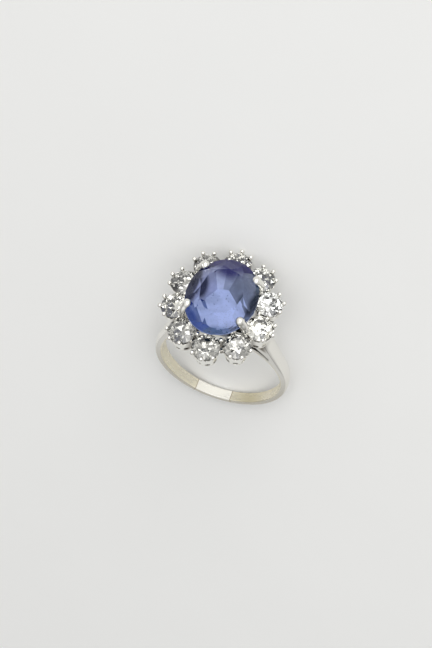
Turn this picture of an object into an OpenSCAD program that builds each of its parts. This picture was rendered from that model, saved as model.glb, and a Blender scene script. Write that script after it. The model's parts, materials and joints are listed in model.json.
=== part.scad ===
// Cluster ring: an oval sapphire in four claws, with ten round diamonds in coronet collets
// around it, on a slim shank with forked shoulders.
// The ring is drawn upright first: X across the finger hole, Y along the finger and Z
// towards the head, with the centre of the finger hole at zero. It is then laid on its
// back, so that the rearmost collet and the foot of the shank touch the floor.

/* [Finger hole] */
// Inside diameter of the finger hole
hole_d = 16.5; // [16:0.1:17]

/* [Shank] */
// Thickness of the shank at its foot, through the top of the dome
foot_t = 0.95; // [0.9:0.05:1.1]
// Thickness of the shank at the shoulders, through the top of the dome
shoulder_t = 1.15; // [1.1:0.05:1.3]
// Width of the shank at its foot
foot_w = 1.4; // [1.3:0.05:1.8]
// Width of the shoulders where they meet the head
shoulder_w = 2.5; // [2.2:0.1:2.8]
// Radius of the dome across the outside of the shank
dome_r = 2; // [1.8:0.1:2.4]
// Thickness of the finger rail that runs under the head
rail_t = 0.45; // [0.4:0.05:0.55]

/* [Head] */
// Height of the diamonds' girdles above the centre of the finger hole
cluster_h = 14; // [13.9:0.1:14.2]
// Distance from the middle of the head to the diamonds at its left and right sides
cluster_rx = 5.85; // [5.84:0.01:5.9]
// Distance from the middle of the head to the front and back diamonds
cluster_ry = 6.55; // [6.54:0.01:6.6]
// Outward lean of each diamond collet, in degrees
collet_lean = 6; // [5:0.5:7]
// Height of the sapphire's girdle above the centre of the finger hole
centre_h = 15.87; // [15.8:0.01:16]

/* [Stones] */
// Diameter of each diamond
diamond_d = 3.6; // [3.5:0.02:3.64]
// Width of the sapphire, across the finger
sapphire_w = 9.16; // [9:0.02:9.2]
// Length of the sapphire, along the finger
sapphire_l = 11.42; // [11.3:0.02:11.5]
// Height of the sapphire's crown above its girdle
sapphire_crown = 1.4; // [1.2:0.1:1.6]
// Depth of the sapphire's pavilion below its girdle
sapphire_pavilion = 3.7; // [3.3:0.1:3.8]
// Gap between a stone and the metal that holds it
stone_gap = 0.04; // [0.03:0.01:0.06]

/* [Collets] */
// Depth of each collet below the girdle of its diamond
collet_depth = 2.85; // [2.75:0.05:2.95]
// Outside radius of a collet at its top edge, just below the girdle
collet_top_r = 1.86; // [1.84:0.01:1.88]
// Outside radius of a collet at its base
collet_base_r = 1.34; // [1.28:0.02:1.4]
// Radius of the round bead at the tip of each small claw
bead_r = 0.3; // [0.27:0.01:0.32]
// Radius of the wire of each small claw
small_claw_r = 0.19; // [0.17:0.01:0.21]

/* [Centre claws] */
// Radius of the wire of a centre claw
claw_r = 0.43; // [0.4:0.01:0.45]
// Radius of the rounded tip of a centre claw
claw_tip_r = 0.6; // [0.55:0.01:0.64]

/* [Hidden] */
$fn = 48;

gold = [0.86, 0.85, 0.81];
sapphire_blue = [0.2, 0.28, 0.62];
diamond_white = [0.9, 0.93, 0.97];

hole_r = hole_d / 2;
rail_r = hole_r + rail_t;
diamond_r = diamond_d / 2;

// Larger than any section of the shank, for the shapes that cut it
reach = 12;

// The outside of the shank is a slightly larger circle with its centre nearer the head,
// so the shank thickens from its foot to the place where its shoulders fork
fork_a = 40;
dome_shift = (shoulder_t - foot_t) / (1 + sin(fork_a));
crown_r = hole_r + foot_t + dome_shift;

// Each side of a shoulder is a straight line, given by the angle at which its nearest
// point lies and by that point's distance from the centre of the finger hole. The line
// on the inside leaves a narrow slit between the shoulder and the finger rail.
shoulder_a = 22;
shoulder_out = crown_r + dome_shift * sin(shoulder_a) - 0.1;
shoulder_start_h = 2.4;
shoulder_top_x = 4.6;
fork_in = rail_r + 0.1;
fork_h = fork_in * sin(fork_a);
fork_top_h = 8;

// The ten places around the head, counted from the front. The last term evens out the
// spacing along the oval.
diamonds = 10;
function turn_of(i) = 36 * i + 2 * sin(72 * i);
function diamond_place(i) = [
  cluster_rx * sin(turn_of(i)),
  -cluster_ry * cos(turn_of(i)),
  cluster_h
];
function outward(i) = 36 * i - 90;

// The gallery rail joins the feet of all the collets
gallery_r = 4.95;
gallery_h = cluster_h - 2.75;
gallery_wire_r = 0.42;
shoulder_top_h = gallery_h + 0.1;

// The bore, the windows and the scallops that make a coronet of a plain tapered tube
collet_top_h = -0.1;
bore_top_r = 1.62;
bore_base_r = 0.95;
window_r = 0.33;
window_h = -2.15;
scallop_r = 0.42;
scallop_h = -0.05;

// The small claws rise from the outside of the collet and end in round beads. Between two
// neighbours, one claw serves both diamonds, and a drop of solder joins the collets. The
// innermost claw is shorter, so that it stays clear of the sapphire above it.
bead_ring_r = 1.9;
bead_h = 0.34;
inner_bead_h = 0.12;
claw_root_r = 1.62;
claw_root_h = -1.1;
own_claws = [-45, 0, 45, 180];
shared_claw_r = 0.27;
shared_in = 0.7;
shared_root_h = -0.8;
solder_out = 0.3;
solder_top_h = -0.2;

// Each centre claw rises between two collets and folds over the edge of the sapphire. The
// rows give where its tip lies, across and along the finger, and the place of the diamond
// before it. The tips are set by hand and so are not quite even.
claw_foot = [3.6, 2.8, gallery_h - 0.1];
claw_knee = [4.2, 3.38, centre_h - 0.3];
claw_knee_r = claw_r + 0.03;
claw_neck_r = claw_tip_r - 0.06;
claw_tip_h = centre_h + 0.45;
centre_claws = [
  [3.32, -3.1, 1],
  [3.49, 3.25, 3],
  [-3.37, 3.64, 6],
  [-3.74, -2.53, 8]
];

// Facets of a diamond, as shares of its radius
table_share = 0.56;
star_share = 0.79;
crown_share = 0.31;
pavilion_share = 0.86;
lower_share = 0.22;
girdle_t = 0.06;

// The corners of the sapphire, from the table down to the keel. A row gives how many there
// are, their share of the half width and of the half length, their height and their turn.
centre_girdle_t = 0.16;
centre_table_share = 0.6;
centre_star_share = 0.83;
centre_star_h = (sapphire_crown + centre_girdle_t) / 2;
break_share = 0.84;
break_h = -0.3 * sapphire_pavilion;
step_share = 0.52;
step_h = -0.74 * sapphire_pavilion;
centre_rows = [
  [12, centre_table_share, centre_table_share, sapphire_crown, 0],
  [12, centre_star_share, centre_star_share, centre_star_h, 15],
  [24, 1, 1, centre_girdle_t / 2, 0],
  [24, 1, 1, -centre_girdle_t / 2, 0],
  [12, break_share, break_share, break_h, 15],
  [12, 0.5, step_share, step_h, 0],
  [2, 0, 0.1, -sapphire_pavilion, 90]
];

// How far the room for a stone goes above a diamond's table and below any stone's point,
// and the share of its width that a diamond's room has at the top
seat_over = 0.16;
seat_under = 0.3;
seat_top_share = 0.62;

// The ring leans on its rearmost bead and on the rear edge of the shank's foot
taper_top_h = 7.5;
foot_half = foot_w / 2;
foot_edge_h = dome_shift - (crown_r - dome_r + sqrt(dome_r ^ 2 - foot_half ^ 2));
bead_y = cluster_ry + bead_ring_r * cos(collet_lean) + bead_h * sin(collet_lean);
bead_z = cluster_h - bead_ring_r * sin(collet_lean) + bead_h * cos(collet_lean);
span_y = bead_y - foot_half;
span_z = bead_z - foot_edge_h;
lean = atan2(span_y, span_z) + asin(bead_r / norm([span_y, span_z]));
floor_drop = bead_y * cos(lean) - bead_z * sin(lean) + bead_r;
head_reach = centre_table_share * sapphire_l / 2 * sin(lean)
  + (centre_h + sapphire_crown) * cos(lean);
foot_reach = dome_r + (crown_r - dome_r - dome_shift) * cos(lean);

// A ring of points around the axis of a stone
function ring_of(n, rx, ry, z, turn = 0) = [
  for (i = [0 : n - 1]) [rx * cos(360 / n * i + turn), ry * sin(360 / n * i + turn), z]
];

// A stone is the solid inside its corner points
module gem(points) {
  hull() polyhedron(points, [for (i = [2 : len(points) - 1]) [i - 2, i - 1, i]]);
}

// A round brilliant: table, star, kite and girdle facets above, long facets below
module brilliant(r) {
  half = 22.5;
  crown = crown_share * r;
  depth = pavilion_share * r;
  top = girdle_t / 2;
  star_r = star_share * r;
  star_h = top + crown * (r - star_r * cos(half)) / (r - table_share * r);
  low_r = lower_share * r;
  low_h = -top - depth * (1 - low_r * cos(half) / r);
  gem(concat(
    ring_of(8, table_share * r, table_share * r, top + crown),
    ring_of(8, star_r, star_r, star_h, half),
    ring_of(16, r, r, top),
    ring_of(16, r, r, -top),
    ring_of(8, low_r, low_r, low_h, half),
    [[0, 0, -top - depth]]
  ));
}

// An oval mixed cut: a faceted crown, and steps that run down to a short keel
module oval_stone(rx, ry) {
  gem([for (row = centre_rows) each ring_of(row[0], row[1] * rx, row[2] * ry, row[3], row[4])]);
}

// The room that a diamond takes in the metal around it
module round_seat() {
  r = diamond_r + stone_gap;
  top = girdle_t / 2 + stone_gap;
  crown_h = crown_share * diamond_r + seat_over;
  rotate_extrude() polygon([
    [0, -pavilion_share * diamond_r - seat_under],
    [r, -top],
    [r, top],
    [seat_top_share * r, crown_h],
    [0, crown_h]
  ]);
}

// The room that the sapphire takes, drawn round and then narrowed to an oval
module oval_seat() {
  r = sapphire_l / 2 + stone_gap;
  top = centre_girdle_t / 2 + stone_gap;
  table_h = sapphire_crown + stone_gap;
  scale([(sapphire_w / 2 + stone_gap) / r, 1, 1]) rotate_extrude() polygon([
    [0, -sapphire_pavilion - seat_under],
    [step_share * r, step_h - stone_gap],
    [break_share * r, break_h - stone_gap],
    [r, -top],
    [r, top],
    [centre_star_share * r, centre_star_h + stone_gap],
    [centre_table_share * r, table_h],
    [0, table_h]
  ]);
}

// Moves a collet or a diamond to its place i around the head, leaning outward
module at_place(i) {
  translate(diamond_place(i)) rotate([0, 0, outward(i)]) rotate([0, collet_lean, 0]) children();
}

module at_centre() {
  translate([0, 0, centre_h]) children();
}

// A straight piece of round wire from a to b, which may taper
module wire(a, b, ra, rb) {
  v = b - a;
  translate(a) rotate([0, acos(v.z / norm(v)), atan2(v.y, v.x)])
    cylinder(h = norm(v), r1 = ra, r2 = rb);
}

// The part of the ring between the side faces, which taper towards the foot
module taper() {
  rotate([90, 0, 90]) linear_extrude(2 * reach, center = true) polygon([
    [-foot_half, foot_edge_h],
    [-foot_half, -reach],
    [foot_half, -reach],
    [foot_half, foot_edge_h],
    [shoulder_w / 2, taper_top_h],
    [shoulder_w / 2, cluster_h],
    [-shoulder_w / 2, cluster_h],
    [-shoulder_w / 2, taper_top_h]
  ]);
}

// The domed hoop, up to just below the forks
module shank() {
  intersection() {
    translate([0, 0, dome_shift]) rotate([90, 0, 0]) rotate_extrude($fn = 96) intersection() {
      translate([crown_r - dome_r, 0]) circle(dome_r, $fn = 96);
      translate([hole_r - 0.5, -dome_r]) square(2 * dome_r);
    }
    translate([-reach, -dome_r, -reach]) cube([2 * reach, 2 * dome_r, reach + fork_h - 0.3]);
  }
}

// The plain rail that closes the finger hole under the head
module finger_rail() {
  rotate([90, 0, 0]) cylinder(h = 2 * dome_r, r = rail_r, center = true, $fn = 96);
}

// A point on the line whose nearest point lies at angle a and distance d, at height h
function on_line(a, d, h) = [(d - h * sin(a)) / cos(a), h];

// The right shoulder, from the side of the shank up to the gallery rail
module shoulder() {
  intersection() {
    rotate([90, 0, 0]) linear_extrude(2 * dome_r, center = true) polygon([
      on_line(shoulder_a, shoulder_out, shoulder_start_h),
      on_line(shoulder_a, shoulder_out, shoulder_top_h),
      [shoulder_top_x, shoulder_top_h],
      on_line(fork_a, fork_in, fork_top_h),
      on_line(fork_a, fork_in, fork_h),
      [hole_r - 2.5, fork_h],
      [hole_r - 0.2, shoulder_start_h]
    ]);
    rotate([0, -shoulder_a, 0]) translate([shoulder_out - dome_r, 0, -2])
      cylinder(h = 16, r = dome_r, $fn = 96);
  }
}

// The round wire under the cluster. The outline of its section starts at the lowest point,
// clear of the bases of the collets.
module gallery_rail() {
  translate([0, 0, gallery_h]) rotate_extrude($fn = 96)
    translate([gallery_r, 0]) rotate(-90) circle(gallery_wire_r);
}

// One coronet collet: a tapered tube with windows below, and scallops between its claws
module collet() {
  difference() {
    union() {
      difference() {
        rotate_extrude() polygon([
          [bore_base_r, -collet_depth],
          [collet_base_r, -collet_depth],
          [collet_top_r, collet_top_h],
          [bore_top_r, collet_top_h]
        ]);
        for (a = [0 : 3]) rotate([90, 0, 22.5 + 45 * a]) {
          translate([0, window_h]) cylinder(h = 3 * collet_top_r, r = window_r, center = true);
          translate([0, scallop_h]) cylinder(h = 3 * collet_top_r, r = scallop_r, center = true);
        }
      }
      for (a = own_claws) rotate([0, 0, a]) {
        tip = [bead_ring_r, 0, a == 180 ? inner_bead_h : bead_h];
        wire([claw_root_r, 0, claw_root_h], tip, small_claw_r, small_claw_r);
        translate(tip) sphere(bead_r);
      }
    }
    round_seat();
  }
}

// What stands between the collets at places i and i + 1: the claw that both diamonds share,
// and the solder that joins the two collets below their girdles
module between(i) {
  p = diamond_place(i);
  q = diamond_place(i + 1);
  out = [q.y - p.y, p.x - q.x, 0] / norm(q - p);
  translate((p + q) / 2) difference() {
    union() {
      translate([0, 0, shared_root_h] - shared_in * out)
        cylinder(h = bead_h - shared_root_h, r = shared_claw_r);
      translate([0, 0, bead_h] - shared_in * out) sphere(bead_r);
      translate([0, 0, shared_root_h] + solder_out * out)
        cylinder(h = solder_top_h - shared_root_h, r = shared_claw_r);
    }
    translate(-(p + q) / 2) seats(i);
  }
}

// The room of the two diamonds at places i and i + 1
module seats(i) {
  at_place(i) round_seat();
  at_place(i + 1) round_seat();
}

// The centre claw given by one row of the table
module centre_claw(row) {
  side = [sign(row[0]), sign(row[1]), 1];
  foot = [for (k = [0 : 2]) claw_foot[k] * side[k]];
  knee = [for (k = [0 : 2]) claw_knee[k] * side[k]];
  tip = [row[0], row[1], claw_tip_h];
  difference() {
    union() {
      wire(foot, knee, claw_r, claw_r);
      translate(knee) sphere(claw_knee_r);
      wire(knee, tip, claw_r, claw_neck_r);
      translate(tip) sphere(claw_tip_r);
    }
    at_centre() oval_seat();
    seats(row[2]);
  }
}

// The hoop that goes round the finger, with the finger hole cut through it
module band() {
  difference() {
    intersection() {
      union() {
        shank();
        finger_rail();
        shoulder();
        mirror([1, 0, 0]) shoulder();
      }
      taper();
    }
    rotate([90, 0, 0]) cylinder(h = 3 * dome_r, r = hole_r, center = true, $fn = 96);
  }
}

// All the metal, soldered into one
module metal() {
  band();
  gallery_rail();
  for (i = [0 : diamonds - 1]) {
    at_place(i) collet();
    between(i);
  }
  for (row = centre_claws) centre_claw(row);
}

// Lays the upright ring on its back, with the middle of its outline over zero
module laid() {
  translate([0, (foot_reach - head_reach) / 2, floor_drop]) rotate([lean - 90, 0, 0]) children();
}

module mount() {
  color(gold) laid() metal();
}

module centre_stone() {
  color(sapphire_blue) laid() at_centre() oval_stone(sapphire_w / 2, sapphire_l / 2);
}

module diamond(i) {
  color(diamond_white) laid() at_place(i) brilliant(diamond_r);
}

mount();
centre_stone();
diamond(0);  // diamond_01
diamond(1);  // diamond_02
diamond(2);  // diamond_03
diamond(3);  // diamond_04
diamond(4);  // diamond_05
diamond(5);  // diamond_06
diamond(6);  // diamond_07
diamond(7);  // diamond_08
diamond(8);  // diamond_09
diamond(9);  // diamond_10
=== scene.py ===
# %% [markdown]
# # A cluster ring: white gold, one oval sapphire, ten round diamonds
#
# The real ring is a slim hoop whose shoulders fork, a head of ten small crown-shaped
# collets soldered side by side, and four long claws that hold the sapphire above them.
# The lesson follows a goldsmith's order: hoop, collets, claws, stones, and then light.
# The CAD model gives the fixed frame, so it is loaded before anything is made.

# %% Load the ring that the CAD made
import json
import math

import bmesh
import bpy
from mathutils import Matrix, Vector


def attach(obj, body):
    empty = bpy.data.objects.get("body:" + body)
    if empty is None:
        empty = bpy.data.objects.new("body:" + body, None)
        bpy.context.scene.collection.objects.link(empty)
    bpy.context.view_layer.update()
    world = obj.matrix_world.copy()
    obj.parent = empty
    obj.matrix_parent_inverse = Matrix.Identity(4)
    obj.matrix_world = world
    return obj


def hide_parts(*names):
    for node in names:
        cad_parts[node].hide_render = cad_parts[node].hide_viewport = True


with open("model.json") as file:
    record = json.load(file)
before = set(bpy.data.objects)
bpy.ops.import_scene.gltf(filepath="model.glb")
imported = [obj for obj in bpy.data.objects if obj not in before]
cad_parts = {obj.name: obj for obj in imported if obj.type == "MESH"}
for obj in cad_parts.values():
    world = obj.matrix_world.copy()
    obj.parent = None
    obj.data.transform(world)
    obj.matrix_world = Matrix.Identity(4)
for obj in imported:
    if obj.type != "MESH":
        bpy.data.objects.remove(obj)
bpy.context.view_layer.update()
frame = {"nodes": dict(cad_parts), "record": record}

print("the CAD ring has", len(frame["nodes"]), "pieces")

# %% [markdown]
# ## Working upright, in millimetres
#
# The ring lies on its back on the floor, but it is far easier to think of it standing
# up: X across the finger hole, Y along the finger and Z towards the head. Every piece is
# drawn like that in millimetres, and one matrix then lays it down. The matrix comes from
# the finger hole that the CAD record states, so the two models can't drift apart.

# %% The matrix that lays the ring down
MM = 0.001
finger_hole = frame["record"]["mounts"][0]
ACROSS = Vector((1, 0, 0))
ALONG = Vector(finger_hole["axis"])
HEADWARD = ACROSS.cross(ALONG)
UPRIGHT_TO_LAID = Matrix((ACROSS, ALONG, HEADWARD)).transposed().to_4x4()
LAY = (Matrix.Translation(finger_hole["pos_m"]) @ UPRIGHT_TO_LAID
       @ Matrix.Scale(MM, 4))
print("the finger runs along", tuple(round(v, 4) for v in ALONG))

# %% [markdown]
# ## The maker's sizes
#
# The same sizes as in the CAD source, in millimetres and degrees. The inside of the hoop
# is one circle and its outside another, shifted a little towards the head, so that the
# hoop gets thicker from its foot to the fork of the shoulders.

# %% Sizes of the hoop
HOLE_R = 8.25
FOOT_T, SHOULDER_T = 0.95, 1.15
FOOT_HALF, SHOULDER_HALF = 0.7, 1.25
TAPER_FROM, TAPER_TO = -9.1, 7.5
DOME_R = 2.0
RAIL_T = 0.45
FORK_A = 40
DOME_SHIFT = (SHOULDER_T - FOOT_T) / (1 + math.sin(math.radians(FORK_A)))
CROWN_R = HOLE_R + FOOT_T + DOME_SHIFT
print("the outside of the hoop has a radius of", round(CROWN_R, 2), "mm")

# %% [markdown]
# ## Ten places on an oval
#
# The diamonds stand round the sapphire on an oval, each leaning a little outward. Equal
# angles would crowd them where the oval bends most, so each angle is evened out by a
# small sine. All that belongs to a diamond is drawn at the origin, and one matrix for
# each place takes it there.

# %% Sizes of the head, and its ten places
CLUSTER_H = 14.0
CLUSTER_RX, CLUSTER_RY = 5.85, 6.55
COLLET_LEAN = 6
CENTRE_H = 15.87
DIAMONDS = 10
STEP = 360 / DIAMONDS
EVENING = 2
DIAMOND_R = 1.8
SAPPHIRE_HALF_W, SAPPHIRE_HALF_L = 4.58, 5.71


def turn_of(place):
    """The angle round the oval of a place, evened out along the curve."""
    return math.radians(STEP * place + EVENING * math.sin(math.radians(2 * STEP * place)))


def diamond_place(place):
    """The middle of a diamond's girdle."""
    turn = turn_of(place)
    return Vector((CLUSTER_RX * math.sin(turn), -CLUSTER_RY * math.cos(turn), CLUSTER_H))


def at_place(place):
    """The matrix that takes a stone or collet from the origin to its place."""
    outward = math.radians(STEP * place - 90)
    return (Matrix.Translation(diamond_place(place)) @ Matrix.Rotation(outward, 4, "Z")
            @ Matrix.Rotation(math.radians(COLLET_LEAN), 4, "Y"))


print("the gap between neighbouring diamonds is about",
      round((diamond_place(0) - diamond_place(1)).length - 2 * DIAMOND_R, 2), "mm")

# %% [markdown]
# ## White gold
#
# White gold is never quite white: under its bright plating the alloy is a warm, faintly
# yellow grey, and it shows most inside the hoop, where a finger wears the plating off.
# The colour could be painted, but a rule fits every view and needs no picture: the nearer
# to the finger hole, the warmer. The metal is also painted greyer and warmer towards the
# foot, which is painted shade. A finish is many small nodes, so the first helpers add nodes
# and join them in one line each.

# %% Helpers that add nodes
def add_node(tree, kind, values=(), **settings):
    """Adds a node, sets its plain values by socket and its settings by name."""
    made = tree.nodes.new(kind)
    for key, value in settings.items():
        setattr(made, key, value)
    for socket, value in dict(values).items():
        if isinstance(value, bpy.types.NodeSocket):
            tree.links.new(value, made.inputs[socket])
        else:
            made.inputs[socket].default_value = value
    return made


def maths(tree, operation, a, b=0.0):
    """A Math node's result."""
    return add_node(tree, "ShaderNodeMath", {0: a, 1: b}, operation=operation).outputs[0]


def vector_maths(tree, operation, a, b=(0, 0, 0), result=0):
    """A Vector Math node's result, by the number or name of its output."""
    return add_node(tree, "ShaderNodeVectorMath", {0: a, 1: b},
                    operation=operation).outputs[result]


def fade(tree, value, low, high, to_low=0.0, to_high=1.0):
    """A smooth step from to_low to to_high as the value goes from low to high."""
    made = add_node(tree, "ShaderNodeMapRange", {0: value, 1: low, 2: high, 3: to_low,
                    4: to_high}, interpolation_type="SMOOTHSTEP")
    return made.outputs[0]


def blend_colour(tree, share, a, b):
    """Mixes two colours."""
    made = add_node(tree, "ShaderNodeMix", {0: share, 6: a, 7: b}, data_type="RGBA")
    return made.outputs[2]


def noise(tree, place, scale, detail):
    """A soft unevenness. The scale is about how many patches a metre holds."""
    return add_node(tree, "ShaderNodeTexNoise", {"Vector": place, "Scale": scale,
                    "Detail": detail}).outputs[0]


def new_material(name):
    """A material with an empty tree, its output and a Principled shader."""
    made = bpy.data.materials.new(name)
    made.use_nodes = True
    tree = made.node_tree
    tree.nodes.clear()
    out = tree.nodes.new("ShaderNodeOutputMaterial")
    shader = tree.nodes.new("ShaderNodeBsdfPrincipled")
    tree.links.new(shader.outputs[0], out.inputs["Surface"])
    return made, tree, shader, out


print("the helpers use Blender", bpy.app.version_string)

# %% Where a point of the metal lies
INSIDE_FROM, INSIDE_TO = 0.05, 0.3


def upright_place(tree):
    """Object coordinates turned so that they run as in the upright ring, in metres."""
    stand = UPRIGHT_TO_LAID.transposed()
    shift = -(stand @ Vector(finger_hole["pos_m"]))
    where = add_node(tree, "ShaderNodeTexCoord")
    return add_node(tree, "ShaderNodeMapping", {
        "Vector": where.outputs["Object"], "Location": shift,
        "Rotation": stand.to_euler()}).outputs[0]


def hoop_place(tree):
    """Where a point lies on the upright ring: its place, parts, radius and angle."""
    place = upright_place(tree)
    across, along, up = add_node(tree, "ShaderNodeSeparateXYZ", {0: place}).outputs
    flat = add_node(tree, "ShaderNodeCombineXYZ", {0: across, 2: up}).outputs[0]
    radius = vector_maths(tree, "LENGTH", flat, result="Value")
    inside = fade(tree, radius, (HOLE_R + INSIDE_FROM) * MM, (HOLE_R + INSIDE_TO) * MM,
                  1, 0)
    return {"place": place, "across": across, "along": along, "up": up,
            "radius": radius, "inside": inside,
            "angle": maths(tree, "ARCTAN2", up, across)}


def angle_from(tree, at, degrees):
    """How far a point is from a direction of the hoop, in radians."""
    return maths(tree, "ABSOLUTE", maths(tree, "SUBTRACT", at["angle"],
                                         math.radians(degrees)))


print("the inside finish ends", INSIDE_TO, "mm past the finger hole")

# %% [markdown]
# ## Wear, seams and painted shade
#
# Inside the hoop one patch beside the foot is tarnished. Next to it lies a stretch between
# two thin solder seams, let in when the ring was made larger, and painted brighter as a
# painted highlight. Deep between the stones the metal is darkened with painted shade, where
# the stones keep the light out. Each is one colour laid over the last, and the point's
# place on the ring says how much of it.

# %% Colours of worn metal, and the painted shade at the foot
PLATED = (0.86, 0.845, 0.80, 1)
# painted shade: the metal is greyer and warmer towards the foot
FOOT_SHADE = (0.67, 0.64, 0.565, 1)
FOOT_SHADE_FADE = 4
WORN = (0.88, 0.83, 0.68, 1)
# a fade's four numbers: where it starts and ends, and what it gives at each
WORN_FADE = (0.2, 0.7, 0.75, 1)
TARNISHED = (0.66, 0.60, 0.42, 1)
TARNISH_ANGLE, TARNISH_REACH, TARNISH_SHARE = -62, 26, 0.8


def worn_and_shaded_colour(tree, at, cloud):
    """Plated metal greyed towards the foot by painted shade, worn and tarnished inside the
    hoop.
    """
    plated_with_foot_shade = blend_colour(tree, fade(tree, at["up"], -FOOT_SHADE_FADE * MM, FOOT_SHADE_FADE * MM),
                          FOOT_SHADE, PLATED)
    worn = maths(tree, "MULTIPLY", at["inside"], fade(tree, cloud, *WORN_FADE))
    tarnish = maths(tree, "MULTIPLY", at["inside"],
                    fade(tree, angle_from(tree, at, TARNISH_ANGLE), 0,
                         math.radians(TARNISH_REACH), TARNISH_SHARE, 0))
    return blend_colour(tree, tarnish, blend_colour(tree, worn, plated_with_foot_shade, WORN), TARNISHED)


print("the tarnish reaches", TARNISH_REACH, "degrees to each side")

# %% The fitted stretch, its painted highlight, and its seams
# painted highlight: the stretch between the seams is painted near white, brighter than the
# worn metal round it
INSERT_HIGHLIGHT = (0.99, 0.97, 0.90, 1)
SEAM = (0.42, 0.34, 0.22, 1)
SEAM_ANGLES = (-116.2, -81.5)
SEAM_EDGE = 0.01
SEAM_CORE, SEAM_HALO, SEAM_SHARE = 0.004, 0.011, 0.75
SEAM_TOP_R, SEAM_END_R = 9.4, 9.6


def fitted_stretch(tree, at):
    """How much a point belongs to the stretch between the seams."""
    first, last = (math.radians(a) for a in SEAM_ANGLES)
    past_first = fade(tree, at["angle"], first - SEAM_EDGE, first + SEAM_EDGE)
    before_last = fade(tree, at["angle"], last - SEAM_EDGE, last + SEAM_EDGE, 1, 0)
    return maths(tree, "MULTIPLY", at["inside"],
                 maths(tree, "MULTIPLY", past_first, before_last))


def seam_lines(tree, at, colour):
    """Draws the two solder seams over a colour."""
    near_hoop = fade(tree, at["radius"], SEAM_TOP_R * MM, SEAM_END_R * MM, 1, 0)
    for seam_angle in SEAM_ANGLES:
        line = fade(tree, angle_from(tree, at, seam_angle), SEAM_CORE, SEAM_HALO,
                    SEAM_SHARE, 0)
        colour = blend_colour(tree, maths(tree, "MULTIPLY", line, near_hoop), colour, SEAM)
    return colour


print("the fitted stretch is", round(math.radians(SEAM_ANGLES[1] - SEAM_ANGLES[0])
                                     * HOLE_R, 1), "mm long")

# %% Painted shade between the stones
# painted shade: the metal deep between the stones is darkened where the stones keep the
# light out
DEEP_SHADE = (0.24, 0.22, 0.19, 1)
SHADE_HALF_W, SHADE_HALF_L, SHADE_TOP_H = 6.1, 6.8, 13.5
SHADE_RIM_FADE, SHADE_FADE_H = (0.95, 1.1, 1, 0), 0.7
SHADE_FROM_R, SHADE_FULL_R = 9.5, 9.8


def painted_shade(tree, at):
    """How much painted shade a point gets: deep inside the head and well above the hoop."""
    plan = add_node(tree, "ShaderNodeCombineXYZ", {
        0: maths(tree, "DIVIDE", at["across"], SHADE_HALF_W * MM),
        1: maths(tree, "DIVIDE", at["along"], SHADE_HALF_L * MM)}).outputs[0]
    from_axis = vector_maths(tree, "LENGTH", plan, result="Value")
    deep = maths(tree, "MULTIPLY", fade(tree, from_axis, *SHADE_RIM_FADE),
                 fade(tree, at["up"], SHADE_TOP_H * MM,
                      (SHADE_TOP_H + SHADE_FADE_H) * MM, 1, 0))
    return maths(tree, "MULTIPLY", deep,
                 fade(tree, at["radius"], SHADE_FROM_R * MM, SHADE_FULL_R * MM))


print("the grime ends", round(SHADE_TOP_H + SHADE_FADE_H - CLUSTER_H, 2),
      "mm above the girdles")

# %% [markdown]
# ## Polish, scratches and ripple
#
# Polished gold is smooth, but a worn ring is never a perfect mirror. Inside, a finger
# leaves a satin of fine streaks that run round the hoop. Outside, a faint ripple and a few
# scratches keep the reflections alive. Streaks could follow a drawn map, but a noise that
# is stretched along the hoop's own angle does it at once, and it never shows a seam.

# %% The white gold
CLOUD_SCALE, RIPPLE_SCALE = 420, 1300
STREAK_SCALE, SCRATCH_SCALE = 1500, 9000
STRETCH = 0.002
POLISH_FADE, SATIN_FADE = (0.3, 0.75, 0.04, 0.12), (0.35, 0.65, 0.15, 0.45)
SCRATCH_SHARE = 0.12
RIPPLE_STRENGTH, RIPPLE_DEPTH = 0.12, 0.00002
INSIDE_DULL, INSERT_DULL = 0.12, 0.6


def polish(tree, at, cloud, shader):
    """Sets how rough the metal is, and its fine ripple and scratches."""
    round_hoop = add_node(tree, "ShaderNodeCombineXYZ", {
        0: maths(tree, "MULTIPLY", at["angle"], STRETCH), 1: at["along"],
        2: at["radius"]}).outputs[0]
    scratches = noise(tree, round_hoop, SCRATCH_SCALE, 2)
    streaks = noise(tree, round_hoop, STREAK_SCALE, 3)
    satin = maths(tree, "MULTIPLY", at["inside"], fade(tree, streaks, *SATIN_FADE))
    rough = maths(tree, "ADD", fade(tree, cloud, *POLISH_FADE), satin)
    tree.links.new(rough, shader.inputs["Roughness"])
    ripple = noise(tree, at["place"], RIPPLE_SCALE, 1)
    height = maths(tree, "ADD", maths(tree, "MULTIPLY", scratches, SCRATCH_SHARE), ripple)
    bump = add_node(tree, "ShaderNodeBump", {"Strength": RIPPLE_STRENGTH,
                    "Distance": RIPPLE_DEPTH, "Height": height})
    tree.links.new(bump.outputs[0], shader.inputs["Normal"])


def white_gold():
    """One metal for the whole mount."""
    made, tree, shader, _ = new_material("white gold")
    at = hoop_place(tree)
    cloud = noise(tree, at["place"], CLOUD_SCALE, 3)
    lit_insert = fitted_stretch(tree, at)
    # the fitted stretch gets its painted highlight here
    colour = blend_colour(tree, lit_insert, worn_and_shaded_colour(tree, at, cloud), INSERT_HIGHLIGHT)
    # painted shade deep in the head goes over the seams
    colour = blend_colour(tree, painted_shade(tree, at), seam_lines(tree, at, colour), DEEP_SHADE)
    tree.links.new(colour, shader.inputs["Base Color"])
    metal = maths(tree, "SUBTRACT", 1.0,
                  maths(tree, "MULTIPLY", at["inside"], INSIDE_DULL))
    metal = maths(tree, "SUBTRACT", metal, maths(tree, "MULTIPLY", lit_insert, INSERT_DULL))
    tree.links.new(metal, shader.inputs["Metallic"])
    polish(tree, at, cloud, shader)
    return made


GOLD = white_gold()
print("the white gold has", len(GOLD.node_tree.nodes), "nodes")

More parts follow.
